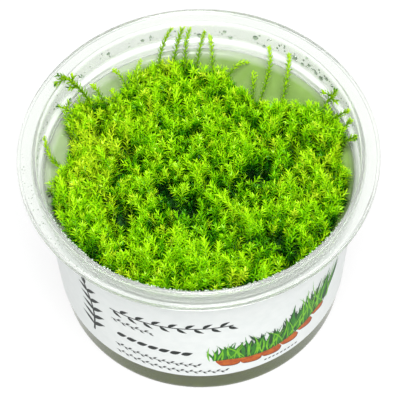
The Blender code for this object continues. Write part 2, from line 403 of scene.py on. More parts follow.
def dropMesh(centre, normal, across, height, d=wallDrops):
    # a flattened dome standing on a surface, its underside closed and just inside the surface
    side = unit(np.cross(normal, (0.1, 0.2, 0.97) if abs(normal[2]) < 0.9 else (1.0, 0.0, 0.0)))
    turn = np.arange(d["sides"]) * math.tau / d["sides"]
    ring = side * np.cos(turn)[:, None] + np.cross(normal, side) * np.sin(turn)[:, None]
    radius = across / 2
    under = centre - normal * d["sunk"]
    rings = [under + ring * radius]
    for rise, wide in ((1.0, 0.86), (1.7, 0.5)):
        rings.append(centre + normal * height * rise * radius + ring * radius * wide)
    return closedRings(rings, centre + normal * height * 2 * radius, under)


def condensedWaterMaterial(d=wallDrops):
    # condensed water: clear, smooth and glossy, a little grey-green from the moss that it shows upside down
    look = {"Base Color": d["hex"], "Roughness": 0.05, "IOR": 1.33}
    material, tree, shader = newMaterial("condensedWater", look)
    place, parts = objectPlace(tree)
    # the beads along the lip are smaller, many to the millimetre, and look white together
    white = {"From Min": 59.4 * mm, "From Max": 59.8 * mm, "To Min": 0.95, "To Max": 0.6}
    joinUp(shader, {"Transmission Weight": addNode(tree, "MapRange", white, {"Value": parts["Z"]})})
    # each drop is a little out of round, 0.8 mm apart
    unevenFace(tree, shader, place, 0.8, 0.2, 0.1)
    return material


def growDrops(d=wallDrops, c=cupWall):
    dice = np.random.default_rng(d["seed"])
    wall = [(angle, z, across * d["spreadOut"]) for angle, z, across in d["big"]]
    for first, last, low, high, count, size in d["small"]:
        angles, heights = dice.uniform(first, last, count), dice.uniform(low, high, count)
        wall += list(zip(angles, heights, dice.uniform(*size, count)))
    made = []
    for angle, z, across in wall:
        spot = polar(angle, c["mouthRadius"] - 0.02, z)
        made.append(dropMesh(spot, -polar(angle, 1.0, 0.0), across, d["height"]))
    for first, last, count, size in d["lip"]:
        for angle, across in zip(dice.uniform(first, last, count), dice.uniform(*size, count)):
            lean = unit(polar(angle, -1.0, dice.uniform(0.6, 1.6)))
            spot = polar(angle, c["mouthRadius"] + 0.12, c["rimTop"] - 0.05)
            made.append(dropMesh(spot, lean, across, d["lipHeight"]))
    first, last, count, size, radii = d["rim"]
    specks = zip(dice.uniform(first, last, count), dice.uniform(*radii, count), dice.uniform(*size, count))
    for angle, radius, across in specks:
        spot = polar(angle, radius, c["rimTop"] - 0.2)
        made.append(dropMesh(spot, np.array([0.0, 0.0, 1.0]), across, d["height"]))
    return joined(made)


points, faces = growDrops()
addPiece("condensedDrops", points, faces, condensedWaterMaterial(), smooth=60)
print("drops set on the wall")

# label: a printed film sleeve

labelSleeve = {
    "low": 9.2, "high": 49.6, "gap": 0.3, "sheet": 0.25, "steps": 288, "rows": 6,
    "paleHex": "#E5E9E7", "greyHex": "#DEE3E1", "glow": 0.15,
}


def labelFace(z):
    return wallInside(z) + cupWall["wall"] + labelSleeve["gap"] + labelSleeve["sheet"]


def labelFilmMaterial(s=labelSleeve):
    # white printed film: flat white, satin, faintly mottled, and it glows where light comes through
    material, tree, shader = newMaterial("whiteLabelFilm", {"Roughness": 0.4, "IOR": 1.48})
    mottledColour(tree, shader, 3, 3.0, [(0.3, s["greyHex"]), (0.7, s["paleHex"])])
    letLightThrough(tree, shader, s["glow"], {"Color": linear("#FFFFFF")})
    return material


def labelProfile(s=labelSleeve):
    heights = np.linspace(s["low"], s["high"], s["rows"])
    return [(labelFace(z) - s["sheet"], z) for z in heights] + [(labelFace(z), z) for z in heights[::-1]]


points, faces = turnedMesh(labelProfile(), labelSleeve["steps"])
addPiece("labelSleeve", points, faces, labelFilmMaterial(), "label", smooth=40)
print("label wrapped")

# print on the label: plain leaves, twigs and pebbles; places are mm round the wall from the front and mm up

labelPrint = {
    "seed": 11, "lift": 0.02, "layer": 0.012, "round": 43.0, "samples": 9, "blunt": 0.08, "highest": 47.0,
    # the colour of each ink and a deeper one
    "inks": {
        "printGrey": ("#1C2421", "#151B18"), "printPebbles": ("#B85E0A", "#9A3C06"),
        "printPebbleShade": ("#6E3606", "#5E2A06"), "printDeepBlades": ("#123F18", "#0E3A1A"),
        "printFreshBlades": ("#2A7A0C", "#226C12"), "printLimeBlades": ("#74B80E", "#5CA012"),
    },
    # twigs of leaves: from x and z, to x and z, leaves, leaf length and width
    "twigs": [
        (-27.6, 36.6, 8.0, 38.4, 15, 3.6, 1.35), (-27.6, 31.4, -14.8, 31.6, 9, 1.8, 0.7),
        (-27.6, 16.8, -1.5, 15.8, 20, 1.6, 0.65), (-27.6, 12.8, 6.6, 11.6, 26, 1.5, 0.6),
    ],
    # rows of single leaves, bold and small: from x and z, to x and z, leaves, leaf length and width
    "leafRows": [(-26.5, 23.6, -3.5, 22.6, 7, 3.3, 2.1), (17.5, 11.6, 29.5, 11.2, 9, 1.0, 0.7)],
    # the sprig at the left: foot and tip, pairs of leaves
    "sprig": (-36.0, 15.0, -36.5, 41.0, 5),
    # pebbles: x, z, half width, half height
    "pebbles": [
        (6.6, 17.6, 3.6, 2.9), (13.2, 16.4, 3.5, 2.5), (19.6, 16.2, 3.4, 2.3), (25.8, 17.4, 3.2, 2.1),
        (31.6, 19.4, 3.0, 1.9), (36.8, 22.0, 2.6, 1.7),
    ],
    # blades: how many, from x to x, height at the left and at the right, mm wide
    "blades": {
        "printDeepBlades": (130, 2.5, 39.5, 7.5, 17.0, (1.2, 1.9)),
        "printFreshBlades": (60, 1.5, 40.5, 8.5, 19.0, (0.6, 1.0)),
        "printLimeBlades": (44, 1.0, 41.5, 8.5, 19.0, (0.35, 0.65)),
    },
}


def onLabel(x, z, layer, p=labelPrint):
    # from mm round the wall and mm up to a place just proud of the film
    return polar(np.degrees(x / p["round"]) - 90, labelFace(z) + p["lift"] + layer * p["layer"], z)


def inkStroke(x, z, width, layer):
    # a flat strip of ink along a line of places, as wide at each as given
    x, z, width = (np.asarray(v, float) for v in (x, z, width))
    ahead = unit(np.stack([np.gradient(x), np.gradient(z)], -1))
    left = onLabel(x - ahead[:, 1] * width / 2, z + ahead[:, 0] * width / 2, layer)
    right = onLabel(x + ahead[:, 1] * width / 2, z - ahead[:, 0] * width / 2, layer)
    k = np.arange(len(x) - 1)
    return np.concatenate([left, right]), [np.stack([k, k + len(x), k + len(x) + 1, k + 1], 1)]


def inkLeaf(x, z, x2, z2, bow, width, layer, p=labelPrint):
    # a pointed leaf or blade between two places, bowed to its left
    t = np.linspace(0, 1, p["samples"])
    along = np.array([x2 - x, z2 - z])
    aside = unit(np.array([-along[1], along[0]])) * bow
    lineX = x + along[0] * t + 4 * t * (1 - t) * aside[0]
    lineZ = z + along[1] * t + 4 * t * (1 - t) * aside[1]
    return inkStroke(lineX, lineZ, width * np.maximum(np.sin(np.pi * t ** 0.8), p["blunt"]), layer)


def inkTwig(x, z, x2, z2, leaves, length, width):
    # a thin stem with leaves set on either side by turns
    stem, reach, rise, bow = 0.36, 0.72, 0.66, 0.12
    t = np.linspace(0, 1, 24)
    made = [inkStroke(x + (x2 - x) * t, z + (z2 - z) * t, np.full(24, width * stem), 0)]
    for i in range(leaves):
        share = (i + 0.5) / leaves
        up = 1 if i % 2 else -1
        footX, footZ = x + (x2 - x) * share, z + (z2 - z) * share
        tip = footX + length * reach, footZ + up * length * rise
        made.append(inkLeaf(footX, footZ, *tip, up * bow * length, width, 0))
    return made


def inkSprig(x, z, x2, z2, pairs):
    # a bowed stem with leaves in pairs and one at its tip
    bow, thick, thinner, longest, shorter, wide, reach, rise = 1.6, 0.75, 0.25, 6.4, 2.4, 1.7, 0.75, 0.66
    t = np.linspace(0, 1, 30)
    stemX, stemZ = x + (x2 - x) * t + bow * np.sin(np.pi * t), z + (z2 - z) * t
    made = [inkStroke(stemX, stemZ, thick - thinner * t, 0)]
    for i in range(pairs):
        share = (i + 0.7) / (pairs + 0.6)
        footX, footZ = np.interp(share, t, stemX), np.interp(share, t, stemZ)
        length = longest - shorter * share
        for way in (-1, 1):
            tip = footX + way * length * reach, footZ + length * rise
            made.append(inkLeaf(footX, footZ, *tip, way * 0.5, wide, 0))
    return made + [inkLeaf(stemX[-1], stemZ[-1] - 0.5, stemX[-1], stemZ[-1] + 4.5, 0, wide, 0)]


def inkPebble(x, z, halfWidth, halfHeight, layer):
    # a strip as tall at each place as a squarish round, on a line that waves a little
    t = np.linspace(0, 1, 13)
    tall = 2 * halfHeight * np.maximum(1 - (2 * t - 1) ** 4, 0.02) ** 0.5
    return inkStroke(x + halfWidth * (2 * t - 1), np.full(13, z) + 0.3 * np.sin(5 * t + x), tall, layer)


def inkBlades(count, fromX, toX, low, high, widths, layer, dice, p=labelPrint):
    # blades that stand on the pebbles, taller to the right
    feetX, feetZ = [pebble[0] for pebble in p["pebbles"]], [pebble[1] + 0.6 for pebble in p["pebbles"]]
    made = []
    for i in range(count):
        share = (i + dice.uniform(0, 1)) / count
        x = fromX + (toX - fromX) * share
        foot = np.interp(x, feetX, feetZ)
        height = (low + (high - low) * share) * dice.uniform(0.5, 1.05)
        tip = x + height * dice.normal(0.05, 0.28), min(foot + height, p["highest"])
        bow = height * dice.uniform(-0.12, 0.12)
        made.append(inkLeaf(x, foot, *tip, bow, dice.uniform(*widths), layer))
    return made


def screenInkMaterial(name):
    # screen-printed ink: solid colour, satin, a touch uneven where the screen left less, 1.2 mm apart
    hexColour, deeperHex = labelPrint["inks"][name]
    look = {"Roughness": 0.5, "IOR": 1.5, "Specular IOR Level": 0.2}
    material, tree, shader = newMaterial(name.replace("print", "screenInk"), look)
    mottledColour(tree, shader, 1.2, 2.0, [(0.35, deeperHex), (0.65, hexColour)])
    return material


def printLabel(p=labelPrint):
    dice = np.random.default_rng(p["seed"])
    grey = [stroke for twig in p["twigs"] for stroke in inkTwig(*twig)] + inkSprig(*p["sprig"])
    for x, z, x2, z2, count, length, width in p["leafRows"]:
        reach, rise = length / 2, 0.2 * length
        for t in (np.arange(count) + 0.5) / count:
            midX, midZ = x + (x2 - x) * t, z + (z2 - z) * t
            grey.append(inkLeaf(midX - reach, midZ - rise, midX + reach, midZ + rise, 0, width, 0))
    strokes = {"printGrey": grey, "printPebbles": [], "printPebbleShade": []}
    for x, z, half, tall in p["pebbles"]:
        strokes["printPebbles"].append(inkPebble(x, z, half, tall, 1))
        strokes["printPebbleShade"].append(inkPebble(x + 0.3, z - 0.5, half * 0.98, tall, 0))
    for layer, (name, blades) in enumerate(p["blades"].items(), 2):
        strokes[name] = inkBlades(*blades, layer, dice)
    for name, made in strokes.items():
        points, faces = joined(made)
        addPiece(name, points, faces, screenInkMaterial(name))


printLabel()
print("label printed")

# gel: agar poured warm into the cup, wetting its wall

gelBed = {
    "top": 49.5, "meniscusRise": 1.1, "meniscusWidth": 1.6, "wet": 0.05, "steps": 192,
    # how far it reaches into the plastic round the foot, so that the foot shows olive to its edge
    "footReach": 0.5,
    # deepHex is painted shade: the gel is olive and darker towards the foot, where less of the light from
    # above comes down through it
    "deepHex": "#5A6800", "middleHex": "#5A6A2A", "topHex": "#6C8842",
    # paleHex: the painted reflection on the meniscus, and the paler left
    "cloudHex": "#8AA65C", "paleHex": "#B4BAAF",
    "deep": (20, 49),  # mm up, from the deep colour to the top one
    # the whitish meniscus, a painted reflection of the wall and label that it mirrors, starts so many mm from
    # the axis, sooner at the left than at the right, by mm of X
    "paleStart": (39.8, 41.8), "paleBetween": (10, 38), "paleOver": 3.0, "paleShare": 0.8,
    "dried": (-12, -28), "driedShare": 0.28,  # mm of X between which the gel turns paler towards the left, and how much
    "paleAbove": 47,                               # mm up, above which it is pale at all
    "shine": (47.5, 49.2),                    # mm up, from no shine to the shine of the open top
}


def gelProfile(g=gelBed):
    # the gel meets the plastic: its side lies just within the wall's face, so no air shows between them
    wet, reach = g["wet"], g["footReach"]
    ringIn, foot = cupWall["footRingIn"], cupWall["footRadius"]
    floor = cupWall["wall"] - reach
    kick = cupWall["footKick"] + floor
    brimZ = g["top"] + g["meniscusRise"]
    brim = wallInside(brimZ) + wet
    made = [(radius, g["top"]) for radius in (0, 12, 24, 33)]
    for t in np.linspace(0, 1, 8):
        made.append((brim - g["meniscusWidth"] * (1 - t), g["top"] + g["meniscusRise"] * t ** 2.4))
    made += [(wallInside(z) + wet, z) for z in (brimZ - 1.5, 40, 25, 12)]
    made += [(wallInside(z) + reach, z) for z in (9, 5, cupWall["footHeight"])]
    return made + [(foot + 0.35, 1.3), (foot + 0.05, 0.45), (foot - 0.45, floor), (ringIn + 0.2, floor),
                   (ringIn - 2.2, kick), (0, kick)]


def nutrientGelMaterial(g=gelBed):
    # agar gel, poured and set: milky sage green with a wet gloss; olive and darker where it is deep, which is
    # painted shade for the light that fades on its way down through the gel
    look = {"Roughness": 0.16, "IOR": 1.34, "Subsurface Weight": 0.35, "Subsurface Scale": 1.5 * mm,
            "Subsurface Radius": (0.8, 1.0, 0.5)}
    material, tree, shader = newMaterial("setNutrientGel", look)
    place, parts = objectPlace(tree)
    acrossX, height = {"Value": parts["X"]}, {"Value": parts["Z"]}

    def between(limits):
        return {"From Min": limits[0] * mm, "From Max": limits[1] * mm}

    # colour by height: painted shade, darker and olive towards the foot
    depth = addNode(tree, "MapRange", between(g["deep"]), height)
    stops = [(0.0, g["deepHex"]), (0.6, g["middleHex"]), (1.0, g["topHex"])]
    byDepth = addNode(tree, "ValToRGB", {"stops": stops}, {"Fac": depth})
    # clouds in the milky gel, 7 mm across
    cloud = addNode(tree, "TexNoise", {"Scale": 1 / (7 * mm), "Detail": 2.0}, {"Vector": place})
    share = addNode(tree, "MapRange", {"From Min": 0.35, "From Max": 0.7, "To Max": 0.4}, {"Value": cloud})
    near = addNode(tree, "Math", {"operation": "MULTIPLY"}, {0: share, 1: depth})
    clouded = addNode(tree, "Mix", {"data_type": "RGBA", 7: linear(g["cloudHex"])}, {0: near, 6: byDepth})
    # the meniscus is thin, and whitish with a painted reflection of the wall and label that it mirrors; on
    # the left the gel is a little paler all over
    toX = {"To Min": g["paleStart"][0] * mm, "To Max": g["paleStart"][1] * mm}
    starts = addNode(tree, "MapRange", {**between(g["paleBetween"]), **toX}, acrossX)
    past = addNode(tree, "Math", {"operation": "SUBTRACT"}, {0: fromAxis(tree, parts), 1: starts})
    paintedReflection = {"From Max": g["paleOver"] * mm, "To Max": g["paleShare"]}
    rim = addNode(tree, "MapRange", paintedReflection, {"Value": past})
    dried = addNode(tree, "MapRange", {**between(g["dried"]), "To Max": g["driedShare"]}, acrossX)
    paler = addNode(tree, "Math", {"operation": "MAXIMUM"}, {0: rim, 1: dried})
    high = addNode(tree, "Math", {"operation": "GREATER_THAN", 1: g["paleAbove"] * mm}, {0: parts["Z"]})
    both = addNode(tree, "Math", {"operation": "MULTIPLY"}, {0: paler, 1: high})
    towards = {"data_type": "RGBA", 7: linear(g["paleHex"])}
    pale = addNode(tree, "Mix", towards, {0: both, 6: clouded.outputs[2]})
    # the open top is glossy; the side that touches the plastic has no shine of its own
    shine = addNode(tree, "MapRange", {**between(g["shine"]), "To Max": 0.5}, height)
    joinUp(shader, {"Base Color": pale.outputs[2], "Specular IOR Level": shine})
    # ripples left as it set, 2.5 mm apart
    unevenFace(tree, shader, place, 2.5, 0.25, 0.15, detail=1.0)
    return material


points, faces = turnedMesh(gelProfile(), gelBed["steps"])
addPiece("gelBed", points, faces, nutrientGelMaterial(), "gel", smooth=50)
print("gel poured")

# moss

mossMat = {
    "seed": 7, "edgeHeight": 51.3, "wallClear": 0.6,
    # mm up at the edge and at the top, then slow swells and tufts: mm high and mm from crest to crest
    "edgeTop": 51.4, "canopy": 54.2, "mound": 0.9, "moundSize": 12.0, "tuft": 0.7, "tuftSize": 5.5,
    "shoulder": 4.0, "backShoulder": 10.0,  # mm in from the edge to full height, front and back
    # where the mat stops short of the wall: middle and half width in degrees from +X, depth in mm
    "bays": [
        (56.0, 29.0, 13.5), (84.0, 14.0, 8.0), (100.0, 16.0, 4.5), (131.0, 13.0, 8.0), (115.0, 14.0, 3.9),
        (170.0, 17.0, 5.0), (2.0, 9.0, 2.2),
    ],
    "baySharpness": 0.4,
    # mm that feet keep from the edge, that tips may pass it by the wall, and that they keep from the wall
    "inset": 0.8, "overhang": 0.6, "tipClear": 1.4, "lowestFoot": 50.4,
    # degrees: how far shoots lean and the spread of that, least and most; heading, its drift and spread
    "lean": (46, 17), "leanLimits": (4, 80), "heading": 95, "drift": 55, "driftSize": 14.0, "scatter": 38,
    # leaves down in the tangle are darker by painted shade: by how much at most, from and over how many mm
    # under the top
    "dark": 0.56, "darkFrom": 0.2, "darkOver": 2.8,
    # where the tangle opens and is dark, with painted shade on the shoots round it: x, y, radius, depth in mm
    "hollows": [
        (-19, 3, 2.2, 2.0), (-22, -3, 2.4, 2.0), (-10, -7.5, 2.0, 1.8), (-9, -11.5, 2.4, 2.4),
        (-2, -13, 2.4, 2.2), (-6, -17, 2.6, 2.6), (3, -19, 2.4, 2.2), (-21, -16.5, 2.6, 2.2),
        (7.5, -8, 2.0, 2.0), (17, -2, 2.4, 2.2), (17.5, -7, 2.4, 2.4), (28.5, 4, 2.4, 2.2),
        (22, -25, 2.6, 2.4), (20, -28, 2.2, 2.0), (5, -28, 2.2, 2.4), (-2.5, 10.5, 1.8, 1.6),
        (12, -26, 2.0, 2.0), (36, -5, 2.0, 1.6),
    ],
    # where it stands proud and bright: x, y, radius, rise in mm
    "tufts": [
        (-32, 9, 6.5, 0.5), (-37, -8, 5.5, 0.8), (-27, 0, 5.5, 0.6), (-14, -9, 3.0, 1.0),
        (-6, -9, 3.0, 0.8), (4, 13, 5.0, 0.6), (13, 3, 3.0, 1.0), (6, -15, 3.5, 1.4), (12, -21, 3.5, 1.2),
        (25, -7, 3.0, 1.0), (32, -5, 5.0, 1.2), (28, -20, 3.0, 1.0), (-6, -27, 3.0, 1.2),
        (0.5, -32, 4.0, 1.6), (-15, -32, 3.0, 1.0), (9, -37, 3.0, 1.2), (-29, -25, 4.0, 0.6),
        (-14, 21, 4.0, 0.4), (20, -14, 3.0, 0.6), (39, 6, 3.0, 0.6), (34, 18, 3.0, 0.4),
    ],
    # where it is yellower: x, y, radius in mm, share of the shoots
    "yellow": [
        (-30, 6, 14.0, 0.8), (34, 0, 10.0, 0.5), (-22, -33, 6.0, 0.4), (-14, 33, 5.0, 0.4),
        (12, -37, 5.0, 0.3),
    ],
    # from the old growth below to the fresh crowns: leaves a shoot, shoot length, leaf length and width,
    # how far under the top, tone, whether each leaf is folded along its midrib
    # shoots to a layer, and the grid of their feet: its reach, the radius it fills, and how far it is shaken
    "shoots": 1500, "gridHalf": 44, "gridRadius": 42.3, "gridSpare": 1.08, "shaken": 0.7,
    "bare": (0.95, 0.35),  # share of the feet missing in a hollow: in the crowns, in what lies below
    # tone: on the tufts, painted shade by the hollows, in patches mm across and from shoot to shoot; share
    # that is yellow
    "brighter": 0.16, "hollowShade": 0.3, "patches": 0.06, "patchSize": 9.0, "toneSpread": 0.08,
    "yellowShare": 0.08,
    # the bed: how far under the shoots' top, no higher than, and its lumps, all in mm
    "bedUnder": 2.6, "bedTop": 53.0, "bedLump": 0.25, "bedLumpSize": 2.2,
    "layers": {
        # the lower layers' lower tone is partly older growth and partly painted shade
        "mossUnder": (24, (3.5, 6.0), (1.5, 0.42), 2.2, 0.4, False),
        "mossMiddle": (28, (4.0, 7.0), (1.6, 0.42), 1.1, 0.58, False),
        "mossCrownLeft": (31, (5.0, 8.5), (2.05, 0.48), -0.4, 0.92, True),
        "mossCrownRight": (31, (5.0, 8.5), (2.05, 0.48), -0.4, 0.88, True),
    },
}


def matEdge(angle, m=mossMat):
    # radius where the mat ends in a direction, in mm
    inset = np.zeros_like(angle)
    for middle, half, depth in m["bays"]:
        away = np.abs((angle - middle + 180) % 360 - 180) / half
        bay = depth * np.clip(0.5 + 0.5 * np.cos(np.pi * np.minimum(away, 1)), 0, 1) ** m["baySharpness"]
        inset = np.maximum(inset, bay)
    return wallInside(m["edgeHeight"]) - m["wallClear"] - inset


def smoothNoise(x, y, size, seed):
    # sums of slow waves, about size mm from crest to crest
    dice = np.random.default_rng(seed)
    total = np.zeros_like(x)
    for _ in range(7):
        turn, phase, pace = dice.uniform(0, math.tau), dice.uniform(0, math.tau), dice.uniform(0.7, 1.4)
        total += np.sin((x * math.cos(turn) + y * math.sin(turn)) * math.tau * pace / size + phase)
    return total / 4


def bumps(x, y, places):
    # the sum of soft round bumps
    total = np.zeros_like(x)
    for px, py, size, height in places:
        total += height * np.exp(-((x - px) ** 2 + (y - py) ** 2) / size ** 2)
    return total


def canopyHeight(x, y, m=mossMat):
    angle = bearing(x, y)
    height = m["canopy"] + m["mound"] * smoothNoise(x, y, m["moundSize"], 3)
    proud = m["tuft"] * smoothNoise(x, y, m["tuftSize"], 5) + bumps(x, y, m["tufts"])
    height += proud - bumps(x, y, m["hollows"])
    toBack = np.clip(np.sin(np.radians(angle)) * 1.4 - 0.2, 0, 1)
    shoulder = m["shoulder"] + (m["backShoulder"] - m["shoulder"]) * toBack
    inward = np.clip((matEdge(angle) - np.hypot(x, y)) / shoulder, 0, 1)
    return m["edgeTop"] + (height - m["edgeTop"]) * (inward * (2 - inward)) ** (0.5 + 0.4 * toBack)


# a leaf: shares of its length along it and off its plane, and the shade and place of its corners on the map
leafShape = {
    "turn": 137.5,            # degrees from leaf to leaf round the stem
    "broadest": 0.36, "cup": 0.1, "droop": 0.07, "fold": 0.28,
    "reach": (0.06, 0.42, 0.42, 0.94), "offset": (0.0, -0.015, 0.015, 0.0), "faces": ((0, 3, 1), (0, 2, 3)),
    # the same with the midrib as a fold between the two halves
    "foldedReach": (0.06, 0.42, 0.42, 0.46, 0.94), "foldedOffset": (0.0, -0.015, 0.015, 0.0, 0.0),
    "foldedFaces": ((0, 3, 1), (0, 2, 3), (1, 3, 4), (3, 2, 4)),
    "mapRows": 4, "askew": (0.31, 0.22, 0.92), "stemJoints": 5, "stemTaper": 0.6,
}


def bowedLine(shoots, t):
    # places along each shoot's bowed line, with the way ahead and two ways across it
    base, tip, sag = (shoots[k][:, None] for k in ("base", "tip", "sag"))
    t = t[None, :, None]
    place = base * (1 - t) + tip * t + 4 * t * (1 - t) * sag
    ahead = unit(tip - base + 4 * (1 - 2 * t) * sag)
    side = unit(np.cross(ahead, leafShape["askew"]))
    return place, ahead, side, np.cross(ahead, side)


def shootLeaves(shoots, leaves, dice, fine, spread, stem, shadeBelow, deadTip, s=leafShape):
    # the leaves turn up the stem by the golden angle, wide below and closed towards the tip
    tone, row, leafLength, leafWidth = (shoots[k] for k in ("tone", "row", "leafLength", "leafWidth"))
    size = (len(tone), leaves)
    t = (np.arange(leaves) + 0.5) / leaves
    axis, ahead, side, other = bowedLine(shoots, t)
    turn = np.arange(leaves)[None] * math.radians(s["turn"]) + dice.uniform(0, math.tau, (size[0], 1))
    turn = turn + dice.normal(0, 0.15, size)
    out = side * np.cos(turn)[..., None] + other * np.sin(turn)[..., None]
    lean = np.radians(spread[0] + (spread[1] - spread[0]) * t ** 1.4)[None] + dice.normal(0, 0.12, size)
    way = ahead * np.cos(lean)[..., None] + out * np.sin(lean)[..., None]
    face = ahead * np.sin(lean)[..., None] - out * np.cos(lean)[..., None]
    across = np.cross(way, face)
    grow = (0.5 + 0.6 * np.sin(np.pi * (0.12 + 0.76 * t)))[None] * dice.uniform(0.85, 1.15, size)
    length = (leafLength[:, None] * grow)[..., None]
    width = (leafWidth[:, None] * (0.7 + 0.3 * grow))[..., None]
    root = axis + out * stem * 0.8
    middle = root + way * length * s["broadest"] + face * s["cup"] * length
    tips = root + way * length - face * s["droop"] * length
    corners = [root, middle + across * width / 2, middle - across * width / 2, tips]
    reach, offset, pattern = s["reach"], s["offset"], s["faces"]
    if fine:
        corners.insert(3, middle - face * width * s["fold"])
        reach, offset, pattern = s["foldedReach"], s["foldedOffset"], s["foldedFaces"]
    shade = tone[:, None] + 0.3 * (t[None] - 0.5) + dice.normal(0, 0.05, size)
    shade = shade - deadTip * np.clip((t[None] - 0.84) / 0.1, 0, 1)
    # painted shade: leaves lower in the tangle are painted darker
    if shadeBelow is not None:
        shade = shade - shadeBelow(root)
    u = np.clip(shade, 0.03, 0.97)[..., None] + np.array(offset)
    v = (row[:, None, None] + np.array(reach)[None, None]) / s["mapRows"] + np.zeros_like(u)
    first = np.arange(size[0] * leaves)[:, None, None] * len(reach)
    points, uv = np.stack(corners, 2).reshape(-1, 3), np.stack([u, v], -1).reshape(-1, 2)
    return points, (first + pattern).reshape(-1, 3), uv


def shootStems(shoots, first, stem, s=leafShape):
    # three-sided stems with a few joints; first is the number of their first corner
    joints, sides = s["stemJoints"], 3
    t = np.linspace(0, 1, joints)
    path, _, a, b = bowedLine(shoots, t)
    n = len(path)
    girth = stem * (1 - s["stemTaper"] * t[None, :, None])
    turns = np.arange(sides) * (math.tau / sides)
    rings = np.stack([path + girth * (a * math.cos(k) + b * math.sin(k)) for k in turns], 2)
    start = first + np.arange(n)[:, None, None, None] * joints * sides
    start = start + np.arange(joints - 1)[None, :, None, None] * sides
    k = np.arange(sides)
    k2 = (k + 1) % sides
    square = np.stack([k, k2, k2 + sides, k + sides], 1)
    u = np.clip(shoots["tone"][:, None, None] - 0.2, 0.05, 0.9) + np.zeros((n, joints, sides))
    v = (shoots["row"][:, None, None] + 0.1 + 0.17 * np.arange(joints)[None, :, None]) / s["mapRows"] + 0 * u
    uv = np.stack([u + np.array([-0.01, 0.0, 0.01]), v], -1)
    return rings.reshape(-1, 3), (start + square).reshape(-1, 4), uv.reshape(-1, 2)


def leafyShoots(shoots, leaves, dice, fine=True, spread=(74, 36), stem=0.11, shadeBelow=None, deadTip=0.0):
    # shoots holds base, tip and sag (n, 3) and tone, row, leafLength and leafWidth (n,), all in mm
    points, blades, uv = shootLeaves(shoots, leaves, dice, fine, spread, stem, shadeBelow, deadTip)
    stemPoints, stems, stemUv = shootStems(shoots, len(points), stem)
    return np.concatenate([points, stemPoints]), [blades, stems], np.concatenate([uv, stemUv])


def mossLeafMaterial():
    # living moss leaf, one cell thick and wet: lit through, lime where young, deep green in the tangle,
    # partly older growth and partly painted shade
    look = {"Roughness": 0.32, "IOR": 1.4, "Specular IOR Level": 0.5}
    material, tree, shader = newMaterial("wetMossLeaf", look)
    where = addNode(tree, "UVMap", {"uv_map": "OFBake"})
    parts = addNode(tree, "SeparateXYZ", {}, {"Vector": where}).outputs
    freshStops = [(0.0, "#042003"), (0.2, "#0C4C05"), (0.4, "#2E8C05"), (0.6, "#66C004"), (0.8, "#A4F006"),
                  (1.0, "#CEFF18")]
    yellowStops = [(0.0, "#142A02"), (0.25, "#3E7A04"), (0.5, "#86BE06"), (0.75, "#BEEE0C"), (1.0, "#E4FF2C")]
    fresh = addNode(tree, "ValToRGB", {"stops": freshStops}, {"Fac": parts["X"]})
    yellow = addNode(tree, "ValToRGB", {"stops": yellowStops}, {"Fac": parts["X"]})
    # the map's upper half is the yellower moss
    half = addNode(tree, "Math", {"operation": "GREATER_THAN", 1: 0.5}, {0: parts["Y"]})
    both = addNode(tree, "Mix", {"data_type": "RGBA"}, {0: half, 6: fresh, 7: yellow})
    # along each leaf, from its darker foot to its clear tip
    rows = addNode(tree, "Math", {"operation": "MULTIPLY", 1: float(leafShape["mapRows"])}, {0: parts["Y"]})
    along = addNode(tree, "Math", {"operation": "FRACT"}, {0: rows})
    light = addNode(tree, "MapRange", {"To Min": 0.6, "To Max": 1.15}, {"Value": along})
    shade = addNode(tree, "VectorMath", {"operation": "SCALE"}, {0: both.outputs[2], "Scale": light})
    joinUp(shader, {"Base Color": shade})
    letLightThrough(tree, shader, 0.45, {}, {"Color": shade})
    return material


def mossBedMaterial():
    # the dense old growth beneath: dark green, partly its own colour and partly painted shade of the shoots
    # above it, rough and lumpy, old stems 0.6 mm apart
    material, tree, shader = newMaterial("oldMossTangle", {"Roughness": 0.8, "Specular IOR Level": 0.2})
    mottledColour(tree, shader, 0.6, 4.0, [(0.3, "#041E02"), (0.7, "#15480A")])
    return material


mossLeaf = mossLeafMaterial()


def mossBedMesh(columns=120, low=49.85, top=51.6, inward=1.8, m=mossMat):
    # a lumpy bed under the shoots: its side, then rings in to the middle
    angle = np.arange(columns) * 360.0 / columns
    edge = matEdge(angle)
    rings = [polar(angle, edge - away, z) for away, z in ((inward, low), (1.4, 50.3), (inward, 50.8))]
    for share in (0.94, 0.88, 0.8, 0.7, 0.6, 0.5, 0.4, 0.3, 0.2, 0.1):
        x, y, _ = polar(angle, (edge - inward) * share, 0.0).T
        z = np.minimum(canopyHeight(x, y) - m["bedUnder"], m["bedTop"])
        z = z + m["bedLump"] * smoothNoise(x, y, m["bedLumpSize"], 11)
        rings.append(np.stack([x, y, np.maximum(z, m["lowestFoot"])], 1))
    return closedRings(rings, (0, 0, top), (0, 0, low))


def tangleShade(p, m=mossMat):
    # painted shade: how much darker a leaf is for lying down in the tangle, where little light reaches it
    under = canopyHeight(p[..., 0], p[..., 1]) - m["darkFrom"] - p[..., 2]
    return m["dark"] * np.clip(under / m["darkOver"], 0, 1)


def pullIn(points, limit):
    # no point stays further from the axis than the limit
    radius = np.hypot(points[:, 0], points[:, 1])
    points[:, :2] *= np.minimum(1, limit / np.maximum(radius, 1e-6))[:, None]


